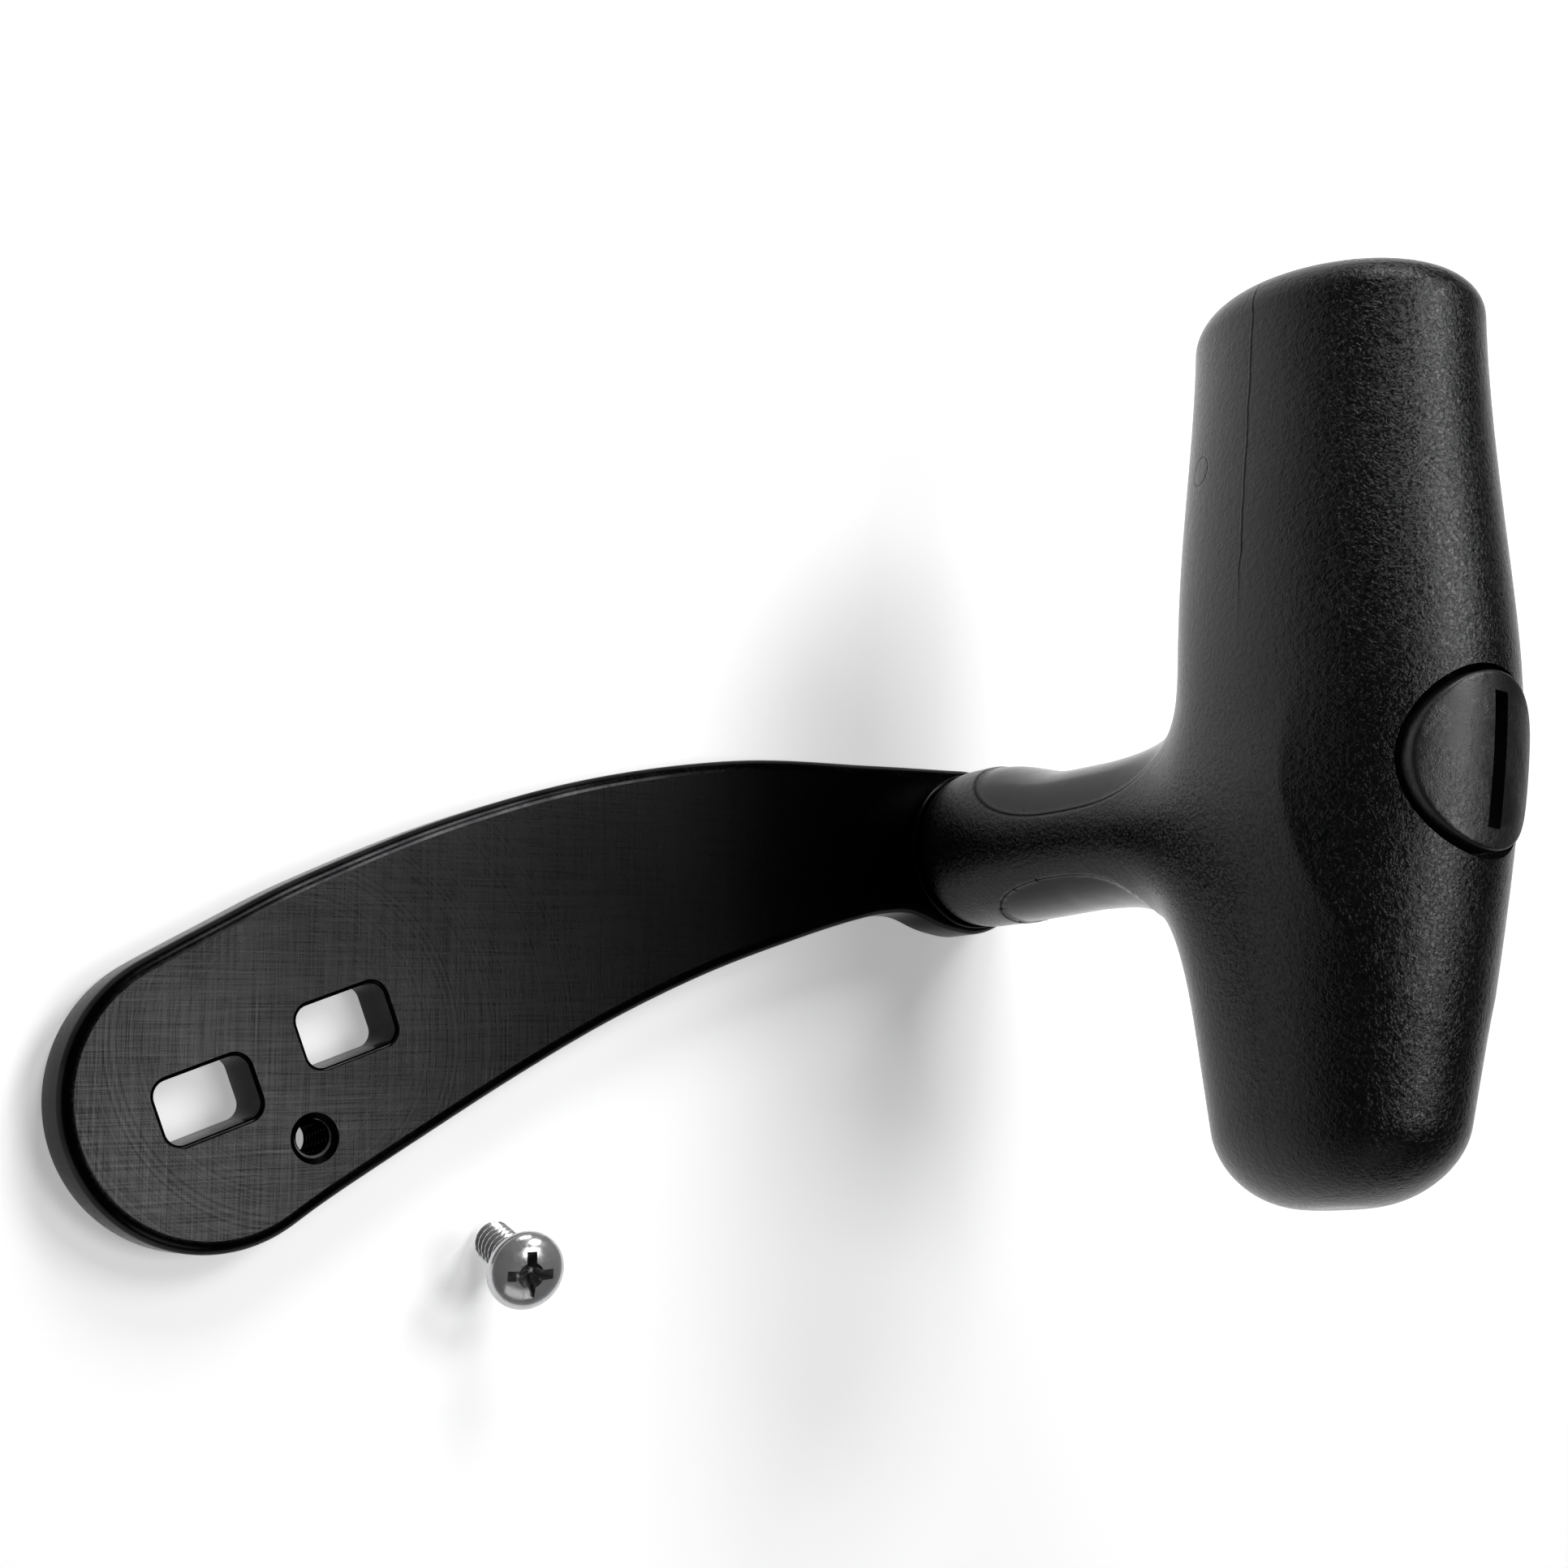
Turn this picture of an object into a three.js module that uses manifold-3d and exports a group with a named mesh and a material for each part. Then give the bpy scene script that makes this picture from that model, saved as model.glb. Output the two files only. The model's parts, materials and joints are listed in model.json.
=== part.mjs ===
// Power handle for a fishing reel: a flat crank arm with two drive holes and a T-bar grip that spins on a spindle.
// Millimetres. The origin is the middle of the outer drive hole on the arm's back face. +Z points out towards
// the grip, and +X runs from the outer drive hole to the spindle.
import * as THREE from "three";
import { mergeVertices } from "three/addons/utils/BufferGeometryUtils.js";
import Module from "manifold-3d";

// Driving dimensions
const PLATE = 6.7; // thickness of the arm
const CRANK = 95.2; // outer drive hole to spindle
const EDGE_ROUND = 1.3; // rounding round the arm's rim
const END_RADIUS = 14.3; // drive end of the arm
const BOSS_RADIUS = 9.6; // grip end of the arm
const PAD = { radius: 8.9, height: 0.5, chamfer: 0.3 }; // raised seat for the grip

const DRIVE_HOLE = { length: 9.4, width: 6.1, corner: 1.5, chamfer: 0.38, turn: 0.051 };
const HOLE_SPACING = 15.2;
const HOLE_LINE_TURN = 0.179; // the line of the drive holes, from +X
const LOCK_HOLE = { x: 8.8, y: -6.5, radius: 1.85, chamfer: 0.55 };

const GRIP_TURN = THREE.MathUtils.degToRad(-20.9); // the bar's turn from +Y at rest
const BAR = { z: PLATE + 53.8, halfDepth: 16.8, halfWidth: 14.0, upper: 48.4, lower: 39.6 };
const END_ROUND = { upper: 3.8, lower: 7.2 };
const LOWER_LEAN = 0.08; // how far the lower end leans, in mm for each mm outwards
const NECK = { base: 7.6, baseRadius: 8.4, widest: 9.0, radius: 8.4, flareUp: 6, flareDown: 8.5, flareAcross: 3 };
const PANEL = { from: 12.5, to: 45, depth: 0.5, halfWidth: 5.5 };

const SHAFT_RADIUS = 2.95;
const SHAFT_TOP = 62;
const BEARING = { bore: 3.0, outer: 6.0, width: 4.0, pitch: 4.5, ball: 0.8, groove: 0.88, balls: 7, race: 0.6 };
const INNER_BEARING_Z = 9.3;
const OUTER_BEARING_Z = 58;
const FIT = 0.05; // clearance between pieces that touch

const CAP = { seat: 73.6, radius: 8.25, proud: 0.7, skirt: 5.0, skirtRadius: 6.4 };
const CAP_SLOT = { length: 12.2, width: 1.7, floor: 76.7 };
const RECESS_RADIUS = 8.75;

const LOCK_SCREW = { headRadius: 3.9, headHeight: 2.1, radius: 2.05, length: 9.5 };
const LOCK_SCREW_AT = { x: 26.4, y: -22.8, lean: 0.297, leanTowards: -2.287 };

const wasm = await Module();
wasm.setup();

// A closed three.js geometry as a manifold-3d solid.
function solidOf(geometry) {
  const bare = geometry.index ? geometry.toNonIndexed() : geometry.clone();
  bare.deleteAttribute("normal");
  bare.deleteAttribute("uv");
  const merged = mergeVertices(bare, 1e-4);
  return new wasm.Manifold(
    new wasm.Mesh({
      numProp: 3,
      vertProperties: new Float32Array(merged.attributes.position.array),
      triVerts: new Uint32Array(merged.index.array),
    }),
  );
}

// A manifold-3d solid as a three.js geometry.
function geometryOf(solid) {
  const cut = solid.getMesh();
  const geometry = new THREE.BufferGeometry();
  geometry.setAttribute("position", new THREE.BufferAttribute(new Float32Array(cut.vertProperties), 3));
  geometry.setIndex(new THREE.BufferAttribute(new Uint32Array(cut.triVerts), 1));
  geometry.computeVertexNormals();
  return geometry;
}

// Turns a profile of [radius, z] corners, listed anticlockwise, about the Z axis.
// A profile that doesn't start on the axis is closed into a ring.
function turned(profile, segments = 24) {
  const points = profile.map(([r, z]) => new THREE.Vector2(r, z));
  if (profile[0][0] > 0) points.push(points[0].clone());
  return new THREE.LatheGeometry(points, segments).rotateX(Math.PI / 2);
}

// A plain ring, or a disc when inner is 0.
function ring(inner, outer, low, high, segments = 24) {
  return turned([[inner, low], [outer, low], [outer, high], [inner, high]], segments);
}

// A straight prism of a shape from z = low to z = high.
function prism(shape, low, high, curveSegments = 5) {
  const depth = high - low;
  return new THREE.ExtrudeGeometry(shape, { depth, bevelEnabled: false, curveSegments }).translate(0, 0, low);
}

function roundedRectangle(length, width, corner) {
  const shape = new THREE.Shape();
  const x = length / 2;
  const y = width / 2;
  shape.moveTo(-x + corner, -y);
  shape.lineTo(x - corner, -y);
  shape.absarc(x - corner, -y + corner, corner, -Math.PI / 2, 0);
  shape.lineTo(x, y - corner);
  shape.absarc(x - corner, y - corner, corner, 0, Math.PI / 2);
  shape.lineTo(-x + corner, y);
  shape.absarc(-x + corner, y - corner, corner, Math.PI / 2, Math.PI);
  shape.lineTo(-x, -y + corner);
  shape.absarc(-x + corner, -y + corner, corner, Math.PI, 1.5 * Math.PI);
  return shape;
}

function hexagon(acrossFlats) {
  const shape = new THREE.Shape();
  const radius = acrossFlats / Math.sqrt(3);
  for (let i = 0; i < 6; i += 1) {
    const angle = (i * Math.PI) / 3;
    shape.lineTo(radius * Math.cos(angle), radius * Math.sin(angle));
  }
  return shape;
}

const part = new THREE.Group();

function add(parent, name, geometry, material) {
  const mesh = new THREE.Mesh(geometry, material);
  mesh.name = name;
  parent.add(mesh);
}

const anodised = new THREE.MeshStandardMaterial({ color: 0x0c0c0d, roughness: 0.35, metalness: 0.8 });
const nylon = new THREE.MeshStandardMaterial({ color: 0x101011, roughness: 0.55, metalness: 0 });
const stainless = new THREE.MeshStandardMaterial({ color: 0xc9cacc, roughness: 0.2, metalness: 1 });
const bearingSteel = new THREE.MeshStandardMaterial({ color: 0xb4b6b9, roughness: 0.15, metalness: 1 });
const brassCage = new THREE.MeshStandardMaterial({ color: 0xb08a45, roughness: 0.35, metalness: 1 });
const rubber = new THREE.MeshStandardMaterial({ color: 0x0a0a0a, roughness: 0.8, metalness: 0 });
const acetal = new THREE.MeshStandardMaterial({ color: 0xe6e4dc, roughness: 0.5, metalness: 0 });

// Crank arm
function armOutline() {
  const shape = new THREE.Shape();
  const endCentre = 0.8;
  const bossTo = THREE.MathUtils.degToRad(80);
  const bossFrom = THREE.MathUtils.degToRad(-105);
  const endFrom = THREE.MathUtils.degToRad(101);
  const endTo = THREE.MathUtils.degToRad(-76);
  shape.absarc(CRANK, 0, BOSS_RADIUS, bossFrom, bossTo, false);
  const topEdge = [[84.7, 12.8], [67.6, 17.2], [49.2, 19.4], [31.8, 19.3], [15.3, 17.5], [5.4, 15.6]];
  const endStart = [endCentre + END_RADIUS * Math.cos(endFrom), END_RADIUS * Math.sin(endFrom)];
  shape.splineThru([...topEdge, endStart].map(([x, y]) => new THREE.Vector2(x, y)));
  shape.absarc(endCentre, 0, END_RADIUS, endFrom, endTo + 2 * Math.PI, false);
  const lowEdge = [[8.6, -12.6], [17.4, -10.5], [31.2, -7.4], [43.8, -5.1], [56.7, -3.7], [69.2, -3.3]];
  const bulge = [[77.8, -3.4], [82.3, -3.9], [85.6, -4.9], [88.8, -7.3]];
  const bossStart = [CRANK + BOSS_RADIUS * Math.cos(bossFrom), BOSS_RADIUS * Math.sin(bossFrom)];
  shape.splineThru([...lowEdge, ...bulge, bossStart].map(([x, y]) => new THREE.Vector2(x, y)));
  return shape;
}

// A drive hole's cutter: its bore, and a chamfer at the front face.
function driveHoleCutter() {
  const { length, width, corner, chamfer, turn } = DRIVE_HOLE;
  const bore = solidOf(prism(roundedRectangle(length, width, corner), -1, PLATE + 1));
  const mouth = new THREE.ExtrudeGeometry(roundedRectangle(length, width, corner), {
    depth: 1,
    bevelThickness: chamfer,
    bevelSize: chamfer,
    bevelSegments: 1,
    curveSegments: 5,
  }).translate(0, 0, PLATE + 0.001);
  return bore.add(solidOf(mouth)).rotate([0, 0, THREE.MathUtils.radToDeg(turn)]);
}

function crankArm() {
  const plate = new THREE.ExtrudeGeometry(armOutline(), {
    depth: PLATE - 2 * EDGE_ROUND,
    bevelThickness: EDGE_ROUND,
    bevelSize: EDGE_ROUND,
    bevelOffset: -EDGE_ROUND,
    bevelSegments: 2,
    curveSegments: 5,
  }).translate(0, 0, EDGE_ROUND);
  const { radius, height, chamfer } = PAD;
  const padTop = PLATE + height;
  const padSide = [[0, PLATE - 1], [radius, PLATE - 1], [radius, padTop - chamfer], [radius - chamfer, padTop], [0, padTop]];
  const pad = solidOf(turned(padSide, 36)).translate([CRANK, 0, 0]);
  const spindleHole = solidOf(turned([[0, -1], [5.9, -1], [3.55, 2.1], [3.55, PLATE + 2], [0, PLATE + 2]]));
  const { x, y, radius: lockRadius, chamfer: lockChamfer } = LOCK_HOLE;
  const lockMouth = lockRadius + lockChamfer;
  const lockSide = [
    [0, -1],
    [lockRadius, -1],
    [lockRadius, PLATE - lockChamfer],
    [lockMouth + 0.5, PLATE + 0.5],
    [0, PLATE + 0.5],
  ];
  const innerHole = [HOLE_SPACING * Math.cos(HOLE_LINE_TURN), HOLE_SPACING * Math.sin(HOLE_LINE_TURN), 0];
  return geometryOf(
    solidOf(plate)
      .add(pad)
      .subtract(spindleHole.translate([CRANK, 0, 0]))
      .subtract(driveHoleCutter())
      .subtract(driveHoleCutter().translate(innerHole))
      .subtract(solidOf(turned(lockSide, 24)).translate([x, y, 0])),
  );
}

add(part, "crank_arm", crankArm(), anodised);

// Everything on the spindle's axis
const axisGroup = new THREE.Group();
axisGroup.position.x = CRANK;
part.add(axisGroup);

const padTop = PLATE + PAD.height;
const flangeTop = padTop + 1;

function spindle() {
  const side = [
    [0, 2.4],
    [3.5, 2.4],
    [3.5, padTop + FIT],
    [5.2, padTop + FIT],
    [5.2, flangeTop],
    [3.8, flangeTop],
    [3.8, INNER_BEARING_Z - FIT],
    [SHAFT_RADIUS, INNER_BEARING_Z - FIT],
    [SHAFT_RADIUS, SHAFT_TOP - 0.3],
    [SHAFT_RADIUS - 0.3, SHAFT_TOP],
    [0, SHAFT_TOP],
  ];
  const tailHole = ring(0, 2.0, 1, 12.6, 20);
  const endHole = ring(0, 1.55, 51, SHAFT_TOP + 1, 20);
  return geometryOf(solidOf(turned(side)).subtract(solidOf(tailHole)).subtract(solidOf(endHole)));
}

// A screw along Z with a hexagon socket in its head; side is its profile, socketAt the socket's floor and mouth.
function socketScrew(side, acrossFlats, [floor, mouth]) {
  return geometryOf(solidOf(turned(side, 24)).subtract(solidOf(prism(hexagon(acrossFlats), floor, mouth))));
}

const backScrewSide = [[0, 0.1], [5.0, 0.1], [3.4, 2.25], [1.95, 2.25], [1.95, 12], [0, 12]];
const topScrewSide = [
  [0, 52],
  [1.5, 52],
  [1.5, 63.25],
  [3.1, 63.25],
  [3.1, 64.7],
  [2.3, 65.6],
  [0, 65.6],
];

add(axisGroup, "spindle", spindle(), stainless);
add(axisGroup, "spindle_screw", socketScrew(backScrewSide, 3, [-1, 1.6]), stainless);
add(axisGroup, "thrust_washer", ring(5.35, 6.5, padTop + FIT, padTop + 0.8), acetal);
add(axisGroup, "bearing_spacer", ring(3.05, 3.9, 13.35, OUTER_BEARING_Z - FIT), stainless);
add(axisGroup, "wave_washer", ring(3.1, 4.0, SHAFT_TOP + FIT, SHAFT_TOP + 0.35), stainless);
add(axisGroup, "retaining_washer", ring(1.7, 4.6, SHAFT_TOP + 0.4, SHAFT_TOP + 1.2), stainless);
add(axisGroup, "retaining_screw", socketScrew(topScrewSide, 2.5, [64.2, 67]), stainless);
add(axisGroup, "dust_seal", ring(3.95, 6.5, flangeTop + FIT, INNER_BEARING_Z - 0.1), rubber);

// A deep-groove ball bearing from z = low up; each ring, shield, cage and ball is a piece.
function bearing(prefix, low) {
  const { bore, outer, width, pitch, ball, groove, balls, race } = BEARING;
  const high = low + width;
  const middle = low + width / 2;
  const land = race; // half the gap between the rings
  const reach = Math.acos(land / groove);
  const arc = (side) =>
    Array.from({ length: 5 }, (_, i) => {
      const angle = -reach + (i * reach) / 2;
      return [pitch + side * groove * Math.cos(angle), middle + side * groove * Math.sin(angle)];
    });
  const outerSide = [[outer, low], [outer, high], [pitch + land, high], ...arc(1).reverse(), [pitch + land, low]];
  const innerSide = [[pitch - land, low], ...arc(-1).reverse(), [pitch - land, high], [bore, high], [bore, low]];
  add(axisGroup, prefix + "_outer_ring", turned(outerSide, 20), bearingSteel);
  add(axisGroup, prefix + "_inner_ring", turned(innerSide, 20), bearingSteel);
  const shieldGap = 0.08;
  const shield = (at) => ring(pitch - land + shieldGap, pitch + land - shieldGap / 2, at, at + 0.25, 20);
  add(axisGroup, prefix + "_shield_low", shield(low + 0.1), stainless);
  add(axisGroup, prefix + "_shield_high", shield(high - 0.35), stainless);
  add(axisGroup, prefix + "_cage", ring(pitch - 0.4, pitch + 0.4, middle + ball + 0.05, middle + ball + 0.35, 20), brassCage);
  for (let i = 0; i < balls; i += 1) {
    const angle = (i * 2 * Math.PI) / balls;
    const sphere = new THREE.IcosahedronGeometry(ball, 1);
    sphere.translate(pitch * Math.cos(angle), pitch * Math.sin(angle), middle);
    add(axisGroup, `${prefix}_ball_${i + 1}`, sphere, bearingSteel);
  }
}

bearing("inner_bearing", INNER_BEARING_Z);
bearing("outer_bearing", OUTER_BEARING_Z);

// Grip: the bar lies along the group's Y axis.
const grip = new THREE.Group();
grip.rotation.z = GRIP_TURN;
axisGroup.add(grip);

// The bar's girth at a distance along it, as a share of its girth at the neck.
function girth(along) {
  const u = along / 33.6;
  return 1 + 0.087 * u - 0.2345 * u ** 2 + 0.0553 * u ** 4;
}

// How far the bar's middle line bows outwards at a distance along it.
function bow(along) {
  return 0.1 + 0.8 * Math.exp(-(((along - 6) / 14) ** 2));
}

function bar() {
  const { halfDepth, halfWidth, upper, lower } = BAR;
  const low = END_ROUND.lower;
  const high = END_ROUND.upper;
  const side = [[0, -lower]];
  const roundSteps = 3;
  for (let i = 0; i <= roundSteps; i += 1) {
    const angle = (i * Math.PI) / (2 * roundSteps);
    const along = -lower + low * (1 - Math.cos(angle));
    side.push([halfWidth * girth(along) - low * (1 - Math.sin(angle)), along]);
  }
  const straightSteps = 9;
  for (let i = 1; i < straightSteps; i += 1) {
    const along = -lower + low + ((upper + lower - low - high) * i) / straightSteps;
    side.push([halfWidth * girth(along), along]);
  }
  for (let i = roundSteps; i >= 0; i -= 1) {
    const angle = (i * Math.PI) / (2 * roundSteps);
    const along = upper - high * (1 - Math.cos(angle));
    side.push([halfWidth * girth(along) - high * (1 - Math.sin(angle)), along]);
  }
  side.push([0, upper]);
  const lathe = new THREE.LatheGeometry(side.map(([r, y]) => new THREE.Vector2(r, y)), 32);
  lathe.scale(1, 1, halfDepth / halfWidth).translate(0, 0, BAR.z);
  const points = lathe.attributes.position;
  for (let i = 0; i < points.count; i += 1) {
    const along = points.getY(i);
    const outwards = points.getZ(i) - BAR.z;
    const share = Math.max(-along / lower, 0) ** 2;
    points.setY(i, along + LOWER_LEAN * outwards * share);
    points.setZ(i, points.getZ(i) + bow(along));
  }
  return lathe;
}

// The height of the bar's underside at a place across and along it.
function barUnderside(across, along) {
  const share = across / (BAR.halfWidth * girth(along));
  return BAR.z + bow(along) - BAR.halfDepth * girth(along) * Math.sqrt(1 - share ** 2);
}

// The stem, and a flare whose rim follows the bar's underside all the way round.
function neck() {
  const { base, baseRadius, widest, radius, flareUp, flareDown, flareAcross } = NECK;
  const side = [[0, base], [baseRadius, base], [widest, base + 1.6], [widest, base + 6], [radius, 27], [radius, 50]];
  const stem = turned([...side, [0, 50]], 32);
  const steps = 5;
  const plain = [[0, 36]];
  for (let i = 0; i <= steps; i += 1) plain.push([1 + i, 37 + i]);
  plain.push([0, 54]);
  const flare = turned(plain, 32);
  const points = flare.attributes.position;
  for (let i = 0; i < points.count; i += 1) {
    const step = Math.hypot(points.getX(i), points.getY(i)) - 1;
    if (step > -0.5) {
      const angle = Math.atan2(points.getY(i), points.getX(i));
      const along = Math.sin(angle) > 0 ? flareUp : flareDown;
      const spread = flareAcross + (along - flareAcross) * Math.sin(angle) ** 2;
      const turn = (step * Math.PI) / (2 * steps);
      const start = radius - 0.02;
      const reach = start + spread * (1 - Math.cos(turn));
      const low = barUnderside(start * Math.cos(angle), start * Math.sin(angle)) - spread;
      const rim = start + spread;
      const high = barUnderside(rim * Math.cos(angle), rim * Math.sin(angle)) + 0.3;
      points.setXYZ(i, reach * Math.cos(angle), reach * Math.sin(angle), low + (high - low) * Math.sin(turn));
    }
  }
  return solidOf(stem).add(solidOf(flare));
}

function gripBody() {
  const shaftWay = turned(
    [
      [0, 0],
      [6.7, 0],
      [6.7, INNER_BEARING_Z - 0.05],
      [BEARING.outer + FIT, INNER_BEARING_Z - 0.05],
      [BEARING.outer + FIT, 13.4],
      [4.6, 13.4],
      [4.6, OUTER_BEARING_Z - FIT],
      [BEARING.outer + FIT, OUTER_BEARING_Z - FIT],
      [BEARING.outer + FIT, 62.1],
      [6.2, 62.1],
      [6.2, CAP.seat - CAP.skirt - 0.4],
      [CAP.skirtRadius + 0.15, CAP.seat - CAP.skirt - 0.4],
      [CAP.skirtRadius + 0.15, CAP.seat],
      [RECESS_RADIUS, CAP.seat],
      [RECESS_RADIUS, 90],
      [0, 90],
    ],
    28,
  );
  const { from, to, depth, halfWidth } = PANEL;
  const flat = NECK.radius - depth;
  const panel = new THREE.Shape();
  panel.absellipse(0, (from + to) / 2, halfWidth, (to - from) / 2, 0, 2 * Math.PI);
  const cutter = new THREE.ExtrudeGeometry(panel, { depth: 20, bevelEnabled: false, curveSegments: 12 });
  cutter.rotateX(Math.PI / 2).translate(0, -flat, 0);
  const lowPanel = solidOf(cutter);
  return geometryOf(
    solidOf(bar())
      .add(neck())
      .subtract(lowPanel)
      .subtract(lowPanel.mirror([0, 1, 0]))
      .subtract(solidOf(shaftWay)),
  );
}

// The cap's face carries on the bar's curve, standing a little proud of it.
function gripCap() {
  const { seat, radius, proud, skirt, skirtRadius } = CAP;
  const low = seat + FIT;
  const side = [
    [0, seat - 0.6],
    [skirtRadius - 1.4, seat - 0.6],
    [skirtRadius - 1.4, seat - skirt],
    [skirtRadius, seat - skirt],
    [skirtRadius, seat - 1.5],
    [skirtRadius - 0.65, seat - 1.5],
    [skirtRadius - 0.65, low],
    [radius, low],
    [radius, low + 6],
    [0, low + 6],
  ];
  const face = bar().translate(0, 0, proud);
  const slot = new THREE.BoxGeometry(CAP_SLOT.width, CAP_SLOT.length, 10);
  slot.translate(0, 0, CAP_SLOT.floor + 5);
  return geometryOf(solidOf(turned(side, 32)).intersect(solidOf(face)).subtract(solidOf(slot)));
}

const sealRing = CAP.skirtRadius - 0.6;
const sealTop = CAP.seat - 0.15;
add(grip, "grip_body", gripBody(), nylon);
add(grip, "grip_cap", gripCap(), nylon);
add(grip, "cap_seal_ring", ring(sealRing, sealRing + 0.7, sealTop - 1.2, sealTop), rubber);

// Lock screw, taken out and standing on its tip beside the arm
function lockScrew() {
  const { headRadius, headHeight, radius, length } = LOCK_SCREW;
  const side = [[0, 0], [radius * 0.72, 0], [radius, 0.5], [radius, length], [headRadius, length]];
  const steps = 5;
  for (let i = 0; i < steps; i += 1) {
    const angle = (i * Math.PI) / (2 * steps);
    side.push([headRadius * Math.cos(angle * 0.93), length + 0.5 + (headHeight - 0.5) * Math.sin(angle)]);
  }
  side.push([0, length + headHeight]);
  const arm = new THREE.BoxGeometry(0.9, 3.9, 4).translate(0, 0, length + headHeight + 0.7);
  const cross = solidOf(arm).add(solidOf(arm.clone().rotateZ(Math.PI / 2)));
  return geometryOf(solidOf(turned(side, 28)).subtract(cross));
}

const { x, y, lean, leanTowards } = LOCK_SCREW_AT;
const loose = new THREE.Group();
loose.position.set(x, y, LOCK_SCREW.radius * 0.72 * Math.sin(lean));
loose.quaternion.setFromAxisAngle(new THREE.Vector3(-Math.sin(leanTowards), Math.cos(leanTowards), 0), lean);
add(loose, "lock_screw", lockScrew(), stainless);
part.add(loose);

export default part;
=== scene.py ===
"""A fishing reel's power handle: machined arm, moulded T-bar grip, slotted cap and a loose lock screw."""
import json
import math

import bpy
import numpy as np
from mathutils import Matrix, Quaternion, Vector


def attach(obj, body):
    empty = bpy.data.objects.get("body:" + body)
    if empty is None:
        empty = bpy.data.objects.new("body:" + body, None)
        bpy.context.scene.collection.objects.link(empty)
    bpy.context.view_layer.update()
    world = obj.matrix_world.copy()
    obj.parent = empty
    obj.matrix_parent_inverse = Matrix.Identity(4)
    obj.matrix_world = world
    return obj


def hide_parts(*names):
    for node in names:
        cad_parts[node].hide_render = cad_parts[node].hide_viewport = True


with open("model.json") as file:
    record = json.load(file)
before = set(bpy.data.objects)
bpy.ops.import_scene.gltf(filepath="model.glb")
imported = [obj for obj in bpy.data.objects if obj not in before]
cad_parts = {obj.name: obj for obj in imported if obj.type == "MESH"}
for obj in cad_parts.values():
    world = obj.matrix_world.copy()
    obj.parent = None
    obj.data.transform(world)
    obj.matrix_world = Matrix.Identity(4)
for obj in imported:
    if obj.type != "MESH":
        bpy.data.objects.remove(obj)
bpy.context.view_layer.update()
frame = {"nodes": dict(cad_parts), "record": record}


MM = 0.001
scene = bpy.context.scene

# Sizes are in millimetres and angles in radians, unless a comment says otherwise.

# Arm: a flat plate from the outer drive hole, at the origin, to the spindle, at CRANK along X
PLATE = 6.7
CRANK = 95.2
EDGE_ROUND = 1.3
END_RADIUS = 14.3
END_CENTRE = 0.8
END_ARC = (101, 284)  # degrees
BOSS_RADIUS = 9.6
BOSS_ARC = (-105, 80)  # degrees
UPPER_EDGE = [(84.7, 12.8), (67.6, 17.2), (49.2, 19.4), (31.8, 19.3), (15.3, 17.5), (5.4, 15.6)]
LOWER_EDGE = [(8.6, -12.6), (17.4, -10.5), (31.2, -7.4), (43.8, -5.1), (56.7, -3.7), (69.2, -3.3)]
LOWER_EDGE += [(77.8, -3.4), (82.3, -3.9), (85.6, -4.9), (88.8, -7.3)]
SEAT_RADIUS = 8.9
SEAT_HEIGHT = 0.5
SEAT_ROUND = 0.3
# Countersink and bore for the spindle, as (radius, z)
SPINDLE_BORE = [(6.05, -1), (6.05, 0.0), (5.9, 0.12), (3.55, 2.1), (3.55, PLATE + 2)]
DRIVE_HOLE = (9.4, 6.1)
DRIVE_CORNER = 1.5
DRIVE_CHAMFER = 0.38
DRIVE_TURN = 0.051
INNER_HOLE = (14.96, 2.71)
LOCK_HOLE = (8.8, -6.5)
LOCK_ROOT = 1.58
LOCK_CREST = 1.86
LOCK_PITCH = 0.79
LOCK_CHAMFER = 0.55
RING_CENTRE = (9.0, 3.0)

# Grip: in its own coordinates, Y is along the bar and Z along the spindle
GRIP_TURN = math.radians(-20.9)
BAR_Z = 60.5
HALF_DEPTH = 16.8
HALF_WIDTH = 14.0
UPPER = 48.4
LOWER = 39.6
LOWER_LEAN = 0.08
NECK_BASE = 7.6
NECK_RADIUS = 8.4
# Half the angle round the neck, the middle height and half the height of each smooth panel
UPPER_PANEL = (math.radians(87), 31.0, 17.5)
LOWER_PANEL = (math.radians(47.5), 28.2, 12.5)
PANEL_POWER = 2.6
PARTING_Z = 60.9
EJECTOR_MARK = (30.4, 53.9)
EJECTOR_RADIUS = 1.4
CAP_SEAT = 73.6
RECESS_RADIUS = 8.7
# Bearing seats, spindle clearance and cap thread, as (radius, z)
GRIP_BORE = [(6.95, 0), (6.95, NECK_BASE), (6.7, NECK_BASE + 0.3), (6.7, 9.25), (6.05, 9.25), (6.05, 13.4)]
GRIP_BORE += [(4.6, 13.4), (4.6, 57.95), (6.05, 57.95), (6.05, 62.1), (6.2, 62.1), (6.2, 68.2)]
GRIP_BORE += [(6.55, 68.2), (6.55, CAP_SEAT), (RECESS_RADIUS, CAP_SEAT), (RECESS_RADIUS, 90)]
GRIP_CELL = 0.5

# Cap, in the grip's coordinates
CAP_RADIUS = 8.0
CAP_PROUD = 0.7
CAP_ROUND = 0.5
SKIRT_RADII = (5.0, 6.4)
SKIRT_BOTTOM = 68.6
SLOT_SIZE = (1.7, 12.2)
SLOT_FLOOR = 76.7
CAP_CELL = 0.2

# Lock screw, which stands on its tip and leans
SCREW_AT = (26.4, -22.8)
SCREW_LEAN = 0.297
SCREW_TOWARDS = -2.287
SCREW_LENGTH = 9.5
SCREW_ROOT = 1.47
SCREW_CREST = 2.05
SCREW_PITCH = 0.95
HEAD_RADIUS = 3.92
HEAD_HEIGHT = 2.1
HEAD_RISE = 1.65
RECESS_TURN = 1.31

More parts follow.
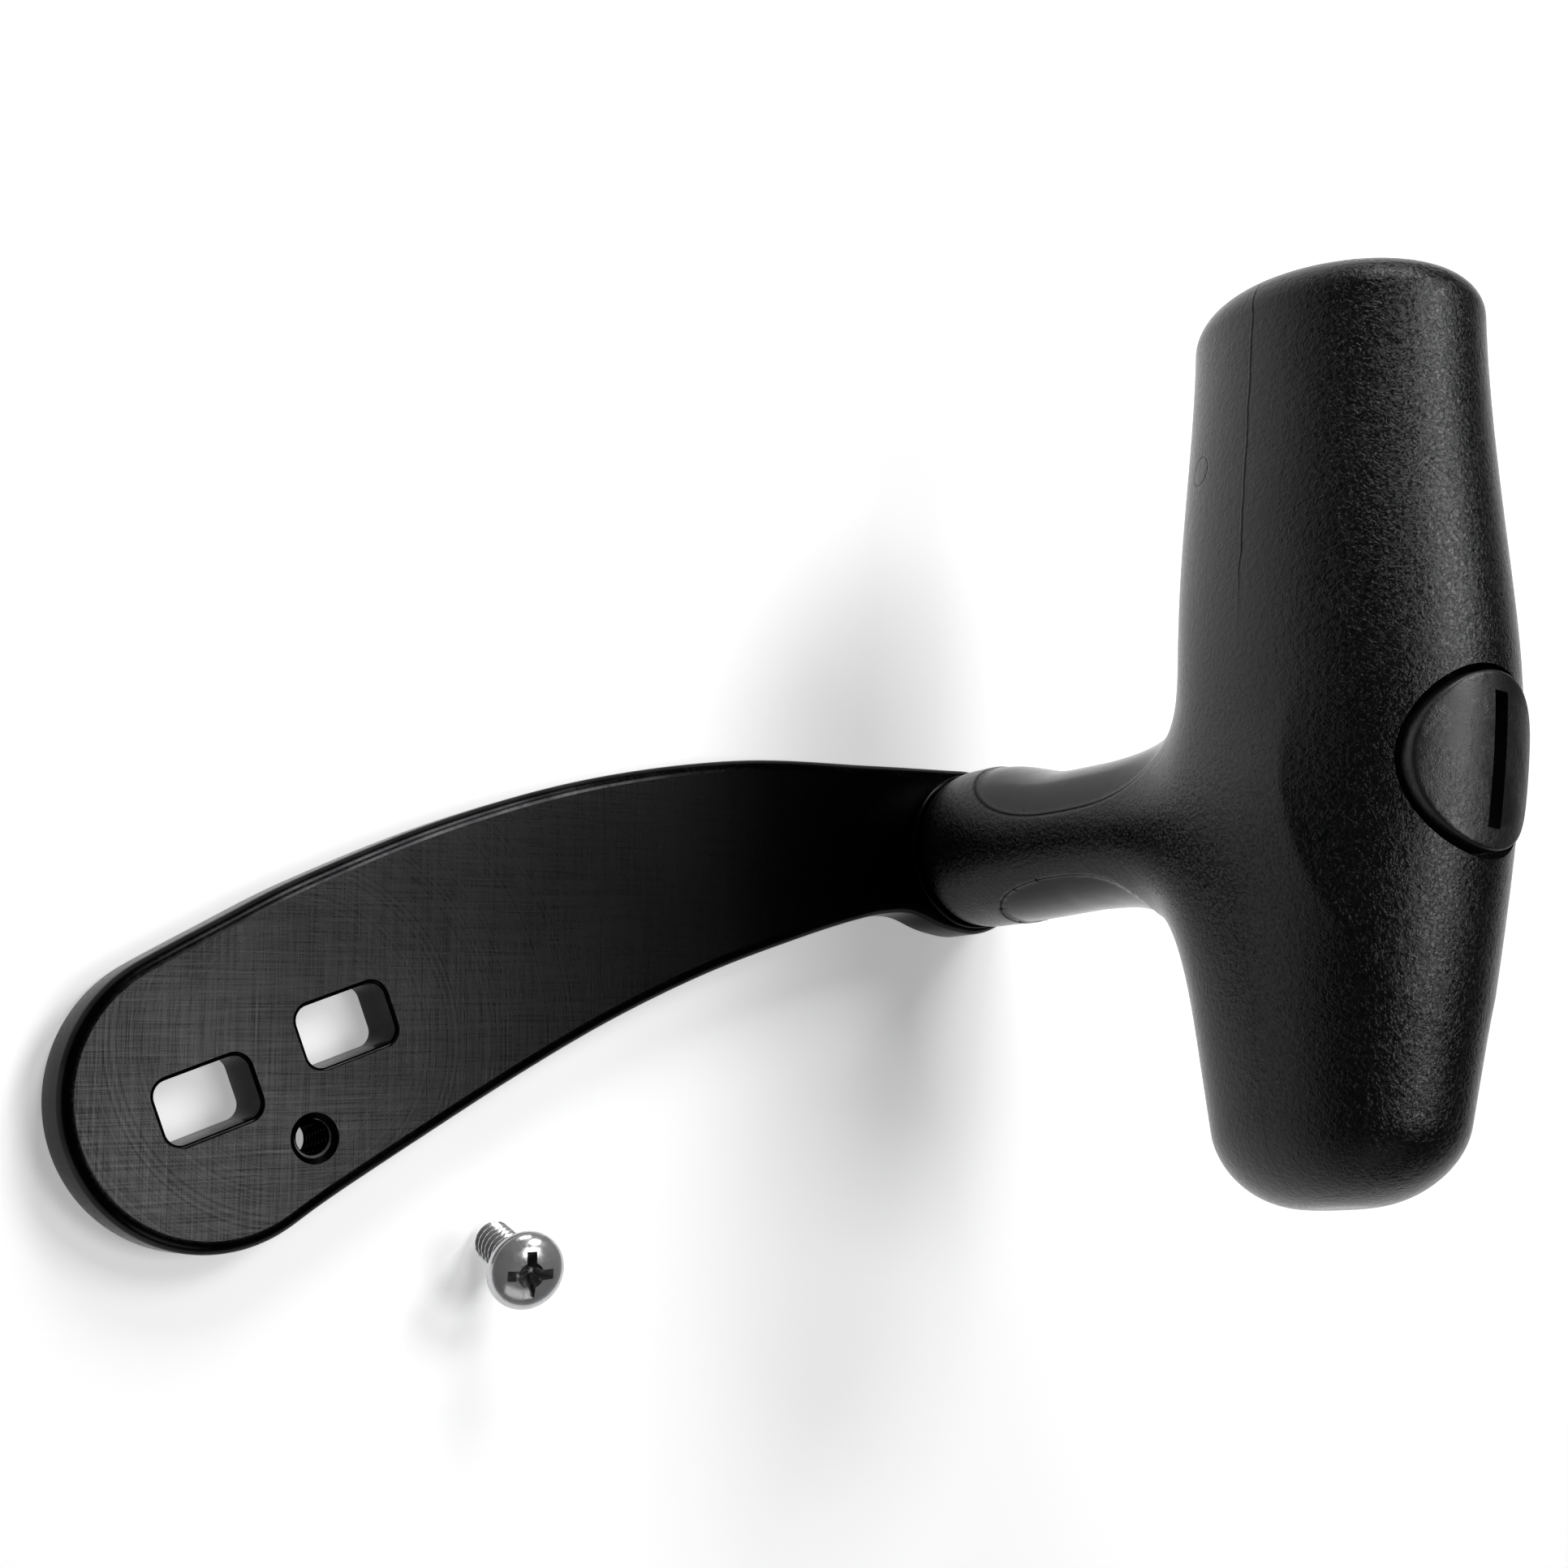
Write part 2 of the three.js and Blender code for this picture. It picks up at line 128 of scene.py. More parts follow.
# Camera
CAMERA_AT = (-66.51, 17.59, 196.47)
CAMERA_RIGHT = (0.7929, -0.2598, 0.5511)
CAMERA_DOWN = (-0.2452, -0.9641, -0.1018)
LENS = 49.24
LENS_SHIFT = (0.0357, 0.0617)

# Softboxes: name, place, target, width and height, and power in watts
SOFTBOXES = [
    ("over_arm", (110, -50, 420), (10, 0, 0), (120, 140), 0.5),
    ("over_bar", (245, 135, 400), (100, 30, 60), (120, 170), 0.76),
    ("far_side", (210, 430, 300), (80, 30, 0), (200, 200), 1.1),
    ("near_side", (-120, -420, 260), (50, 0, 0), (260, 160), 0.1),
]

# Floor, in metres, and its faint glow; the world's brightness at the horizon and overhead
FLOOR_REACH = 3.0
FLOOR_DROP = 0.0001
FLOOR_GLOW = 0.38
HORIZON_LIGHT = 0.13
OVERHEAD_LIGHT = 0.03


# Camera, floor and light

def add_camera():
    right, down = Vector(CAMERA_RIGHT), Vector(CAMERA_DOWN)
    forward = right.cross(down).normalized()
    right = down.cross(forward).normalized()
    rotation = Matrix((right, -down.normalized(), -forward)).transposed()
    data = bpy.data.cameras.new("camera")
    data.lens = LENS
    data.sensor_width = 36
    data.shift_x, data.shift_y = LENS_SHIFT
    data.clip_start = 0.005
    camera = bpy.data.objects.new("camera", data)
    camera.matrix_world = Matrix.Translation(Vector(CAMERA_AT) * MM) @ rotation.to_4x4()
    scene.collection.objects.link(camera)
    scene.camera = camera


def add_softbox(name, place, target, size, power):
    data = bpy.data.lights.new(name, "AREA")
    data.shape = "RECTANGLE"
    data.size, data.size_y = size[0] * MM, size[1] * MM
    data.energy = power
    light = bpy.data.objects.new(name, data)
    place = Vector(place) * MM
    light.location = place
    light.rotation_euler = (Vector(target) * MM - place).to_track_quat("-Z", "Y").to_euler()
    scene.collection.objects.link(light)


def add_floor():
    mesh = bpy.data.meshes.new("floor")
    square = [(-1, -1), (1, -1), (1, 1), (-1, 1)]
    mesh.from_pydata([(x * FLOOR_REACH, y * FLOOR_REACH, 0) for x, y in square], [], [(0, 1, 2, 3)])
    floor = bpy.data.objects.new("floor", mesh)
    floor.location.z = -FLOOR_DROP
    scene.collection.objects.link(floor)
    pale = bpy.data.materials.new("pale_floor")
    pale.use_nodes = True
    inputs = pale.node_tree.nodes["Principled BSDF"].inputs
    inputs["Base Color"].default_value = (0.93, 0.93, 0.93, 1)
    inputs["Roughness"].default_value = 0.9
    inputs["Specular IOR Level"].default_value = 0.2
    inputs["Emission Color"].default_value = (1, 1, 1, 1)
    inputs["Emission Strength"].default_value = FLOOR_GLOW
    mesh.materials.append(pale)


def add_world():
    """A dim studio, a little lighter near the horizon than overhead."""
    world = bpy.data.worlds.new("studio")
    world.use_nodes = True
    nodes, links = world.node_tree.nodes, world.node_tree.links
    parts = nodes.new("ShaderNodeSeparateXYZ")
    links.new(nodes.new("ShaderNodeTexCoord").outputs["Generated"], parts.inputs[0])
    height = nodes.new("ShaderNodeMapRange")
    height.interpolation_type = "SMOOTHSTEP"
    links.new(parts.outputs[2], height.inputs["Value"])
    height.inputs["From Min"].default_value = 0.02
    height.inputs["From Max"].default_value = 0.3
    height.inputs["To Min"].default_value = HORIZON_LIGHT
    height.inputs["To Max"].default_value = OVERHEAD_LIGHT
    links.new(height.outputs["Result"], nodes["Background"].inputs["Strength"])
    nodes["Background"].inputs["Color"].default_value = (0.96, 0.98, 1.0, 1)
    scene.world = world
    scene.view_settings.view_transform = "Standard"


# Meshes

def add_piece(name, points, faces, materials, place=None):
    """A new object from points in millimetres."""
    mesh = bpy.data.meshes.new(name)
    points = [tuple(point) for point in np.asarray(points) * MM]
    mesh.from_pydata(points, [], [tuple(face) for face in faces])
    for material in materials:
        mesh.materials.append(material)
    mesh.update()
    piece = bpy.data.objects.new(name, mesh)
    if place is not None:
        piece.matrix_world = place
    scene.collection.objects.link(piece)
    return piece


def cutter(shape, place, materials=()):
    """A tool for combine() from points and faces; its cut faces take the last of the materials."""
    tool = add_piece("tool", *shape, materials, place)
    last = max(len(materials) - 1, 0)
    tool.data.polygons.foreach_set("material_index", [last] * len(tool.data.polygons))
    return tool


def combine(piece, tool, operation="DIFFERENCE"):
    """Cuts tool from piece, or joins it on, and removes tool."""
    modifier = piece.modifiers.new("combine", "BOOLEAN")
    modifier.object = tool
    modifier.operation = operation
    modifier.solver = "EXACT"
    bpy.context.view_layer.update()
    evaluated = piece.evaluated_get(bpy.context.evaluated_depsgraph_get())
    made = bpy.data.meshes.new_from_object(evaluated)
    piece.modifiers.clear()
    spare = piece.data
    piece.data = made
    bpy.data.meshes.remove(spare)
    bpy.data.objects.remove(tool)


def smooth(piece, degrees):
    """Smooth shading, broken at edges sharper than this."""
    mesh = piece.data
    mesh.polygons.foreach_set("use_smooth", [True] * len(mesh.polygons))
    mesh.set_sharp_from_angle(angle=math.radians(degrees))
    mesh.update()


def shift(x, y, z=0.0):
    return Matrix.Translation(Vector((x, y, z)) * MM)


def stacked(rings, start=None, end=None):
    """Points and faces of rings of equal count, each end closed by a fan to a point or by a flat face."""
    count = len(rings[0])
    points = np.concatenate(rings)
    faces = []
    for level in range(len(rings) - 1):
        base = level * count
        for i in range(count):
            j = (i + 1) % count
            faces.append((base + i, base + j, base + count + j, base + count + i))
    top = (len(rings) - 1) * count
    if start is None:
        faces.append(tuple(reversed(range(count))))
    else:
        points = np.vstack([points, start])
        faces += [((i + 1) % count, i, len(points) - 1) for i in range(count)]
    if end is None:
        faces.append(tuple(top + i for i in range(count)))
    else:
        points = np.vstack([points, end])
        faces += [(top + i, top + (i + 1) % count, len(points) - 1) for i in range(count)]
    return points, faces


def circle(radius, z, count=96):
    """A ring of points; radius may be a function of the angle."""
    angle = np.arange(count) * 2 * np.pi / count
    radii = radius(angle) if callable(radius) else np.full(count, radius)
    return np.stack([radii * np.cos(angle), radii * np.sin(angle), np.full(count, z)], axis=1)


def turned(profile, count=96):
    """Points and faces of a profile of (radius, z) pairs turned about Z, going up, with flat ends."""
    return stacked([circle(radius, z, count) for radius, z in profile])


def threaded(root, crest, pitch, high, limit=math.inf, flare=0.0, count=64, step=0.08):
    """Rings of a shaft with a helical thread, up from z = 0, no wider than limit + flare * z."""
    rings = []
    for z in np.arange(0, high + step / 2, step):
        def radius(angle, z=z):
            share = np.mod(z / pitch - angle / (2 * np.pi), 1)
            ridge = np.clip(1.3 * (1 - 2 * np.abs(share - 0.5)) - 0.12, 0, 1)
            return np.minimum(root + (crest - root) * ridge, limit + flare * z)
        rings.append(circle(radius, z, count))
    return rings


def surface(field, low, high, step):
    """Points and quads of the surface where field is 0, from a grid of cells, moved onto the surface."""
    low = np.array(low, float)
    counts = np.ceil((np.array(high) - low) / step).astype(int) + 1
    grid = np.meshgrid(*[low[k] + step * np.arange(counts[k]) for k in range(3)], indexing="ij")
    inside = field(*grid) < 0
    # One point in each cell that the surface passes through
    last = counts - 1
    corner_sum = sum(
        inside[a : last[0] + a, b : last[1] + b, c : last[2] + c].astype(int)
        for a in (0, 1)
        for b in (0, 1)
        for c in (0, 1)
    )
    cells = np.argwhere((corner_sum > 0) & (corner_sum < 8))
    index = np.full(last, -1)
    index[tuple(cells.T)] = np.arange(len(cells))
    points = low + (cells + 0.5) * step
    nudges = np.eye(3) * 0.01 * step
    for _ in range(5):
        value = field(*points.T)
        rises = [field(*(points + nudge).T) - field(*(points - nudge).T) for nudge in nudges]
        slope = np.stack([rise / (0.02 * step) for rise in rises], axis=1)
        move = -(value / np.maximum((slope**2).sum(axis=1), 0.05))[:, None] * slope
        length = np.linalg.norm(move, axis=1, keepdims=True)
        points = points + move * np.minimum(1, 0.5 * step / np.maximum(length, 1e-9))
    # One quad round each grid edge that the surface crosses
    quads = []
    for k in range(3):
        i, j = (k + 1) % 3, (k + 2) % 3
        part = [slice(1, -1)] * 3
        part[k] = slice(None, -1)
        lower = inside[tuple(part)]
        part[k] = slice(1, None)
        at = np.argwhere(lower != inside[tuple(part)])
        filled = lower[tuple(at.T)]
        at[:, i] += 1
        at[:, j] += 1
        step_i, step_j = np.eye(3, dtype=int)[i], np.eye(3, dtype=int)[j]
        around = [index[tuple(cell.T)] for cell in (at, at - step_i, at - step_i - step_j, at - step_j)]
        quad = np.stack(around, axis=1)
        quads.append(np.where(filled[:, None], quad, quad[:, ::-1]))
    return points, np.concatenate(quads)


# Materials

class Look:
    """A procedural material under construction, in the piece's own coordinates."""

    def __init__(self, name, color, roughness, metallic=0.0):
        self.material = bpy.data.materials.new(name)
        self.material.use_nodes = True
        self.tree = self.material.node_tree
        self.shader = self.tree.nodes["Principled BSDF"]
        self.shader.inputs["Base Color"].default_value = (*color, 1)
        self.shader.inputs["Roughness"].default_value = roughness
        self.shader.inputs["Metallic"].default_value = metallic
        self.place = self.tree.nodes.new("ShaderNodeTexCoord").outputs["Object"]

    def node(self, kind, inputs, **settings):
        made = self.tree.nodes.new(kind)
        for key, value in settings.items():
            setattr(made, key, value)
        for key, value in inputs.items():
            if isinstance(value, bpy.types.NodeSocket):
                self.tree.links.new(value, made.inputs[key])
            else:
                made.inputs[key].default_value = value
        return made

    def math(self, operation, a, b=0.0):
        return self.node("ShaderNodeMath", {0: a, 1: b}, operation=operation).outputs[0]

    def plus(self, first, *others):
        for other in others:
            first = self.math("ADD", first, other)
        return first

    def times(self, first, *others):
        for other in others:
            first = self.math("MULTIPLY", first, other)
        return first

    def minus(self, a, b):
        return self.math("SUBTRACT", a, b)

    def distance(self, a, b):
        return self.math("SQRT", self.plus(self.times(a, a), self.times(b, b)))

    def split(self, vector):
        parts = self.node("ShaderNodeSeparateXYZ", {0: vector}).outputs
        return parts[0], parts[1], parts[2]

    def moved(self, scale=(1, 1, 1), turn=0.0, offset=(0, 0, 0)):
        """The piece's coordinates moved by offset in millimetres, turned about Z, then stretched."""
        at = self.place
        for name, value in (("Location", Vector(offset) * MM), ("Rotation", (0, 0, turn)), ("Scale", scale)):
            at = self.node("ShaderNodeMapping", {"Vector": at, name: value}).outputs[0]
        return at

    def noise(self, size, detail=2.0, vector=None, roughness=0.5, distortion=0.0):
        """Noise whose features are about size millimetres across."""
        inputs = {"Vector": vector or self.place, "Scale": 1 / (size * MM), "Detail": detail}
        inputs.update({"Roughness": roughness, "Distortion": distortion})
        return self.node("ShaderNodeTexNoise", inputs).outputs["Fac"]

    def ramp(self, value, low, high, to_low=0.0, to_high=1.0):
        inputs = {"Value": value, "From Min": low, "From Max": high, "To Min": to_low, "To Max": to_high}
        return self.node("ShaderNodeMapRange", inputs).outputs["Result"]

    def line_at(self, value, half_width):
        """1 where value is 0, falling to 0 at half_width millimetres."""
        return self.ramp(self.math("ABSOLUTE", value), 0.0, half_width * MM, 1.0, 0.0)

    def link(self, value, name):
        self.tree.links.new(value, self.shader.inputs[name])

    def color(self, share, dark, light):
        made = self.tree.nodes.new("ShaderNodeMix")
        made.data_type = "RGBA"
        self.tree.links.new(share, made.inputs[0])
        made.inputs[6].default_value = (*dark, 1)
        made.inputs[7].default_value = (*light, 1)
        self.link(made.outputs[2], "Base Color")

    def roughness(self, value):
        self.link(value, "Roughness")

    def edge_tint(self, gray):
        """How strongly a metal reflects where it is seen at a grazing angle."""
        self.shader.inputs["Specular Tint"].default_value = (gray, gray, gray, 1)

    def bump(self, *layers):
        """Layers of (height, distance in millimetres), each on top of the last."""
        normal = None
        for height, distance in layers:
            inputs = {"Height": height, "Distance": distance * MM, "Strength": 1.0}
            if normal is not None:
                inputs["Normal"] = normal
            normal = self.node("ShaderNodeBump", inputs).outputs["Normal"]
        self.link(normal, "Normal")


def machined_face():
    """Black anodised face with the rings that a cutter left, under fine straight brush marks."""
    look = Look("anodised_face", (0.02, 0.02, 0.021), 0.4, 1.0)
    across, along, _ = look.split(look.moved(offset=(-RING_CENTRE[0], -RING_CENTRE[1], 0)))
    radius = look.distance(across, along)
    line = look.node("ShaderNodeCombineXYZ", {0: radius, 1: 0.0, 2: 0.0}).outputs[0]
    away = look.ramp(radius, 7.0 * MM, 13.0 * MM)
    faded = look.ramp(radius, 26.0 * MM, 48.0 * MM, 1.0, 0.25)
    ripple = look.minus(look.noise(0.3, 4.0, line, 0.75), 0.5)
    rings = look.plus(look.times(ripple, look.times(away, faded)), 0.5)
    hatch = look.noise(1.0, 4.0, look.moved((9.0, 0.1, 1.0), 0.32), 0.7)
    cross_hatch = look.noise(1.0, 4.0, look.moved((8.0, 0.12, 1.0), 1.85), 0.7)
    cloud = look.noise(9.0, 3.0)
    marks = look.plus(look.times(hatch, 0.45), look.times(cross_hatch, 0.45), look.times(rings, 0.5))
    share = look.ramp(look.plus(marks, look.times(cloud, 0.12)), 0.6, 0.95)
    look.color(share, (0.004, 0.004, 0.0042), (0.026, 0.026, 0.0266))
    look.roughness(look.ramp(marks, 0.5, 0.9, 0.31, 0.2))
    look.edge_tint(0.4)
    look.bump((rings, 0.012), (hatch, 0.007), (cross_hatch, 0.007))
    return look.material


def anodised_rim():
    """The arm's rounded rim, walls and holes: the same black anodising, tumbled smooth."""
    look = Look("anodised_rim", (0.02, 0.02, 0.021), 0.2, 1.0)
    fine = look.noise(0.4, 3.0)
    cloud = look.noise(6.0, 3.0)
    look.color(look.ramp(cloud, 0.35, 0.7), (0.008, 0.008, 0.0085), (0.02, 0.02, 0.0205))
    look.roughness(look.ramp(fine, 0.3, 0.7, 0.16, 0.28))
    look.edge_tint(0.6)
    look.bump((fine, 0.003))
    return look.material


def grain(look, size=1.0):
    """The height of a fine leather-like moulding grain, and its finest wrinkles alone."""
    inputs = {"Vector": look.place, "Scale": 1 / (0.55 * size * MM), "Smoothness": 0.5}
    cells = look.node("ShaderNodeTexVoronoi", inputs, feature="SMOOTH_F1").outputs["Distance"]
    wrinkle = look.noise(0.4 * size, 3.0, roughness=0.55, distortion=1.8)
    return look.plus(wrinkle, look.times(cells, 0.4)), wrinkle


def panel_outline(look, x, y, z):
    """What panel_edge gives, as nodes: 1 on the outline of the neck's smooth panels, less inside."""
    turned_to = look.math("ARCTAN2", look.math("ABSOLUTE", y), look.times(x, -1.0))
    around = look.minus(turned_to, math.pi / 2)
    edges = []
    for reach, middle, half in (UPPER_PANEL, LOWER_PANEL):
        up = look.math("DIVIDE", look.minus(z, middle * MM), half * MM)
        wide = look.math("DIVIDE", around, reach)
        parts = [look.math("POWER", look.math("ABSOLUTE", part), PANEL_POWER) for part in (wide, up)]
        edges.append(look.math("POWER", look.plus(*parts), 1 / PANEL_POWER))
    above = look.math("GREATER_THAN", y, 0.0)
    return look.plus(look.times(edges[0], above), look.times(edges[1], look.minus(1.0, above)))


def nylon_grain():
    """Black nylon with a leather grain, smooth in the neck's two panels, with the mould's marks."""
    look = Look("nylon_grain", (0.008, 0.008, 0.0085), 0.4)
    height, wrinkle = grain(look)
    x, y, z = look.split(look.place)
    edge = panel_outline(look, x, y, z)
    panel = look.ramp(edge, 0.97, 0.99, 1.0, 0.0)
    border = look.ramp(look.math("ABSOLUTE", look.minus(edge, 1.0)), 0.0, 0.024, 1.0, 0.0)
    # The parting line round the bar's middle, which fades towards the neck and the lower end
    sway = look.times(look.minus(look.noise(3.0), 0.5), 0.5 * MM)
    parting = look.line_at(look.plus(look.minus(z, PARTING_Z * MM), sway), 0.2)
    clear_of_neck = look.ramp(look.math("ABSOLUTE", y), 12 * MM, 20 * MM)
    parting = look.times(parting, clear_of_neck, look.ramp(y, -20 * MM, 0.0, 0.25, 1.0))
    # A shallow round ejector mark on one side of the bar
    mark_y, mark_z = EJECTOR_MARK
    off_mark = look.distance(look.minus(y, mark_y * MM), look.minus(z, mark_z * MM))
    one_side = look.ramp(x, -5 * MM, -4 * MM, 1.0, 0.0)
    ring = look.times(look.line_at(look.minus(off_mark, EJECTOR_RADIUS * MM), 0.16), one_side)
    cloud = look.noise(8.0, 3.0)
    share = look.plus(look.times(cloud, 0.5), look.times(wrinkle, 0.5))
    look.color(look.ramp(share, 0.35, 0.7), (0.0016, 0.0016, 0.0017), (0.004, 0.004, 0.0042))
    rough = look.ramp(wrinkle, 0.3, 0.7, 0.27, 0.15)
    look.roughness(look.times(rough, look.ramp(panel, 0.0, 1.0, 1.0, 0.9)))
    seam = look.math("MAXIMUM", border, look.times(look.math("MAXIMUM", parting, ring), 0.8))
    look.link(look.ramp(seam, 0.0, 1.0, 0.33, 0.02), "Specular IOR Level")
    groove = look.times(look.plus(border, look.times(ring, 0.7)), -1.0)
    grain_height = look.times(height, look.ramp(panel, 0.0, 1.0, 1.0, 0.06))
    look.bump((cloud, 0.1), (parting, 0.05), (groove, 0.12), (grain_height, 0.075))
    return look.material


def cap_nylon():
    """The cap's nylon, whose grain is worn smooth in places."""
    look = Look("cap_nylon", (0.01, 0.01, 0.0105), 0.4)
    height, wrinkle = grain(look, 1.1)
    cloud = look.noise(4.0, 3.0)
    look.color(look.ramp(cloud, 0.35, 0.7), (0.003, 0.003, 0.0032), (0.008, 0.008, 0.0083))
    look.roughness(look.ramp(wrinkle, 0.3, 0.7, 0.46, 0.32))
    patch = look.times(height, look.ramp(cloud, 0.42, 0.58, 0.2, 1.0))
    look.bump((patch, 0.06))
    return look.material


def polished_steel(name, color, roughness, scratch_depth=0.002, metallic=0.8):
    """Metal with faint lengthwise scratches, darker in clouds."""
    look = Look(name, color, roughness, metallic)
    scratches = look.noise(0.3, 3.0, look.moved((1.0, 1.0, 0.15)), 0.6)
    cloud = look.noise(1.6, 2.0)
    look.color(look.ramp(cloud, 0.3, 0.7), tuple(0.86 * value for value in color), color)
    look.roughness(look.ramp(scratches, 0.3, 0.7, roughness * 0.75, roughness * 1.7))
    look.bump((scratches, scratch_depth), (cloud, 0.01))
    return look.material


def soft_plain(name, color, roughness):
    """Rubber or plastic with a fine matt surface, darker in clouds."""
    look = Look(name, color, roughness)
    fine = look.noise(0.15, 3.0)
    cloud = look.noise(2.0, 2.0)
    look.color(look.ramp(cloud, 0.3, 0.7), tuple(0.7 * value for value in color), color)
    look.roughness(look.ramp(fine, 0.3, 0.7, roughness * 0.85, roughness * 1.15))
    look.bump((fine, 0.01))
    return look.material


# Arm

def through(points):
    """A smooth curve through the points, with its last point left off."""
    points = np.array(points, float)
    curve = []
    last = len(points) - 1
    for i in range(last):
        before, here = points[max(i - 1, 0)], points[i]
        there, after = points[i + 1], points[min(i + 2, last)]
        leave, arrive = (there - before) / 2, (after - here) / 2
        for t in np.arange(0, 1, 0.05):
            cubic = (2 * here - 2 * there + leave + arrive) * t**3
            square = (3 * there - 3 * here - 2 * leave - arrive) * t**2
            curve.append(cubic + square + leave * t + here)
    return curve


def arc(centre, radius, degrees, count=60):
    """Points round a circle whose middle is on the X axis, with the last one left off, and that last one."""
    angles = np.radians(np.linspace(*degrees, count + 1))
    points = [np.array([centre + radius * math.cos(a), radius * math.sin(a)]) for a in angles]
    return points[:-1], points[-1]


def arm_outline(spacing=0.45):
    """The arm's rim in plan, anticlockwise, evenly spaced and smoothed at its joins."""
    boss, boss_stop = arc(CRANK, BOSS_RADIUS, BOSS_ARC)
    end, end_stop = arc(END_CENTRE, END_RADIUS, END_ARC)
    top = through([boss_stop, *UPPER_EDGE, end[0]])
    low = through([end_stop, *LOWER_EDGE, boss[0]])
    loop = np.array(boss + top + end + low)
    closed = np.vstack([loop, loop[:1]])
    length = np.concatenate([[0], np.cumsum(np.linalg.norm(np.diff(closed, axis=0), axis=1))])
    count = int(length[-1] / spacing)
    at = np.linspace(0, length[-1], count, endpoint=False)
    even = np.stack([np.interp(at, length, closed[:, k]) for k in (0, 1)], axis=1)
    for _ in range(8):
        even = 0.5 * even + 0.25 * (np.roll(even, 1, axis=0) + np.roll(even, -1, axis=0))
    return even


def inward(loop):
    """Unit vectors pointing into an anticlockwise loop."""
    along = np.roll(loop, -1, axis=0) - np.roll(loop, 1, axis=0)
    along /= np.linalg.norm(along, axis=1, keepdims=True)
    return np.stack([-along[:, 1], along[:, 0]], axis=1)


def rounding(radius, angles):
    """Pairs of (inset from a wall, depth below a face) round a quarter circle of this radius."""
    return [(radius * (1 - math.sin(a)), radius * (1 - math.cos(a))) for a in angles]


def rounded_rectangle(length, width, corner, z, steps=10):
    points = []
    for quarter, (sx, sy) in enumerate(((1, 1), (-1, 1), (-1, -1), (1, -1))):
        for i in range(steps + 1):
            angle = (quarter + i / steps) * math.pi / 2
            x = sx * (length / 2 - corner) + corner * math.cos(angle)
            points.append((x, sy * (width / 2 - corner) + corner * math.sin(angle), z))
    return np.array(points)


def drive_hole_tool(x, y):
    """The drive hole's bore with a small rounded chamfer at each face."""
    length, width = DRIVE_HOLE
    levels = [(DRIVE_CHAMFER + 1, -1), (DRIVE_CHAMFER, 0)]
    levels += rounding(DRIVE_CHAMFER, np.linspace(0.5, math.pi / 2, 4))
    levels += [(extra, PLATE - z) for extra, z in reversed(levels)]
    rings = [rounded_rectangle(length + 2 * e, width + 2 * e, DRIVE_CORNER + e, z) for e, z in levels]
    return cutter(stacked(rings), shift(x, y) @ Matrix.Rotation(DRIVE_TURN, 4, "Z"))


def lock_hole_tool():
    """The threaded hole beside the drive holes, chamfered at the top."""
    rings = [circle(1.95, -1, 64)]
    rings += threaded(LOCK_ROOT, LOCK_CREST, LOCK_PITCH, PLATE - LOCK_CHAMFER - 0.01)
    mouth = [(LOCK_CREST, PLATE - LOCK_CHAMFER), (2.43, PLATE), (3.2, PLATE + 1)]
    rings += [circle(radius, z, 64) for radius, z in mouth]
    return cutter(stacked(rings), shift(*LOCK_HOLE))


def build_arm(face_look, rim_look):
    loop = arm_outline()
    into = inward(loop)
    levels = rounding(EDGE_ROUND, np.linspace(0, math.pi / 2, 9))
    levels += [(inset, PLATE - z) for inset, z in reversed(levels)]
    rings = [np.column_stack([loop + into * inset, np.full(len(loop), z)]) for inset, z in levels]
    arm = add_piece("arm_plate", *stacked(rings), [face_look, rim_look])
    edge = [(SEAT_RADIUS, PLATE - 1)]
    for drop, inset in rounding(SEAT_ROUND, np.linspace(0, math.pi / 2, 5)):
        edge.append((SEAT_RADIUS - inset, PLATE + SEAT_HEIGHT - drop))
    combine(arm, cutter(turned(edge), shift(CRANK, 0)), "UNION")
    combine(arm, cutter(turned(SPINDLE_BORE, 64), shift(CRANK, 0)))
    combine(arm, drive_hole_tool(0, 0))
    combine(arm, drive_hole_tool(*INNER_HOLE))
    combine(arm, lock_hole_tool())
    for polygon in arm.data.polygons:
        off_face = min(abs(polygon.center.z / MM - height) for height in (0, PLATE))
        polygon.material_index = 0 if abs(polygon.normal.z) > 0.999 and off_face < 0.01 else 1
    smooth(arm, 32)
    # The two machined faces are shaded flat, so the rounded rims don't bend the light on them
    rounded = [polygon.material_index == 1 for polygon in arm.data.polygons]
    arm.data.polygons.foreach_set("use_smooth", rounded)
    return arm


# Grip and cap, whose fields are roughly the distance outside them

def ease(share):
    """Held between 0 and 1, with a soft start and stop."""
    share = np.clip(share, 0, 1)
    return share**2 * (3 - 2 * share)


def girth(along):
    """The bar's width along its length, against its width at the neck."""
    u = along / 33.6
    return 1 + 0.087 * u - 0.2345 * u**2 + 0.0553 * u**4


def bow(along):
    """How far the bar's middle line bows outwards."""
    return 0.1 + 0.8 * np.exp(-(((along - 6) / 14) ** 2))


def bar_field(x, y, z):
    """The bar alone, whose lower end is rounded more and leans."""
    outwards = z - BAR_Z - bow(y)
    y = y - LOWER_LEAN * outwards * np.clip(-y / LOWER, 0, 1) ** 2
    turn = 5.6 - 1.7 * np.tanh(y / 12)
    reach = np.sqrt(x**2 + (outwards * HALF_WIDTH / HALF_DEPTH) ** 2)
    side = reach - HALF_WIDTH * girth(y) + turn
    end = np.abs(y - (UPPER - LOWER) / 2) - (UPPER + LOWER) / 2 + turn
    outside = np.sqrt(np.maximum(side, 0) ** 2 + np.maximum(end, 0) ** 2)
    return np.minimum(np.maximum(side, end), 0) + outside - turn


def soft_union(a, b, reach):
    mixed = np.maximum(reach - np.abs(a - b), 0) / reach
    return np.minimum(a, b) - mixed**3 * reach / 6


def soft_cut(a, b, reach):
    return -soft_union(-a, -b, reach)


